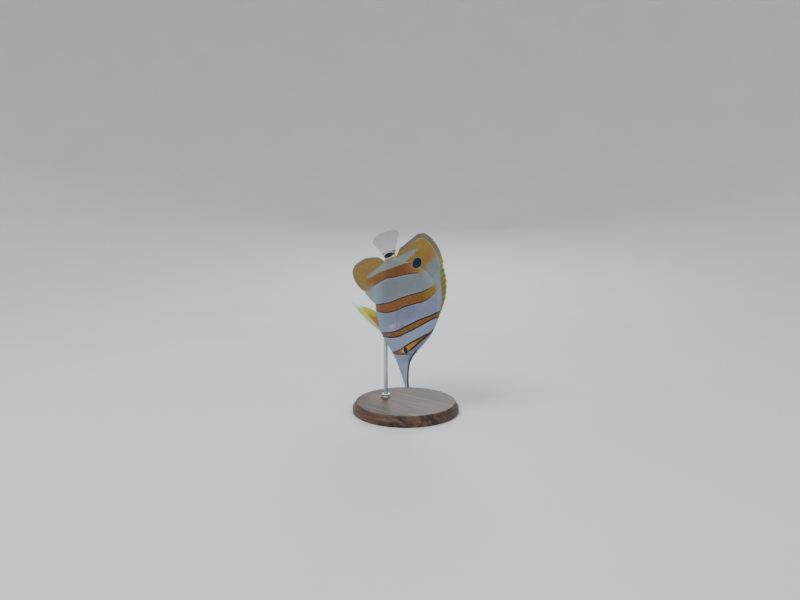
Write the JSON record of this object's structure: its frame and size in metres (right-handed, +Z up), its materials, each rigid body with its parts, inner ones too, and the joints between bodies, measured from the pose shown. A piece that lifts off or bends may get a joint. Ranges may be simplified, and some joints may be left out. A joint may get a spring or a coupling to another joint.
{
  "type": "butterflyfish model",
  "caption": "Life-size model of a banded, long-snouted butterflyfish, posed nose down with its fins spread, on a round base with a slim support rod.",
  "frame": {"origin": "centre of the display base's underside", "axes": "+Z up, from the base towards the tail; the fish stands nose down with its back towards +X and its right flank towards -Y, its back tipped 16.8 degrees up and its flank 8.2 degrees"},
  "size_m": [0.1179, 0.094, 0.1594],
  "materials": {
    "flesh": "satin, silvery white with copper bars",
    "fin": "satin, ochre yellow with a clear edge",
    "clear_fin": "satin, clear greyish",
    "pelvic": "satin, lemon yellow",
    "eye": "polished",
    "base": "dark satin lacquer",
    "rod": "brushed"
  },
  "bodies": {
    "root": {"snout": "flesh", "lower_jaw": "flesh", "head": "flesh", "trunk": "flesh", "tail_stalk": "flesh", "eye_right": "eye", "eye_left": "eye", "dorsal_fin_spiny": "fin", "dorsal_fin_soft": "fin", "anal_fin_spiny": "fin", "anal_fin_soft": "fin", "tail_fin": "clear_fin", "pectoral_fin_right": "clear_fin", "pectoral_fin_left": "clear_fin", "pelvic_fin_right": "pelvic", "pelvic_fin_left": "pelvic", "stand_base": "base", "stand_rod": "rod"}
  },
  "joints": []
}
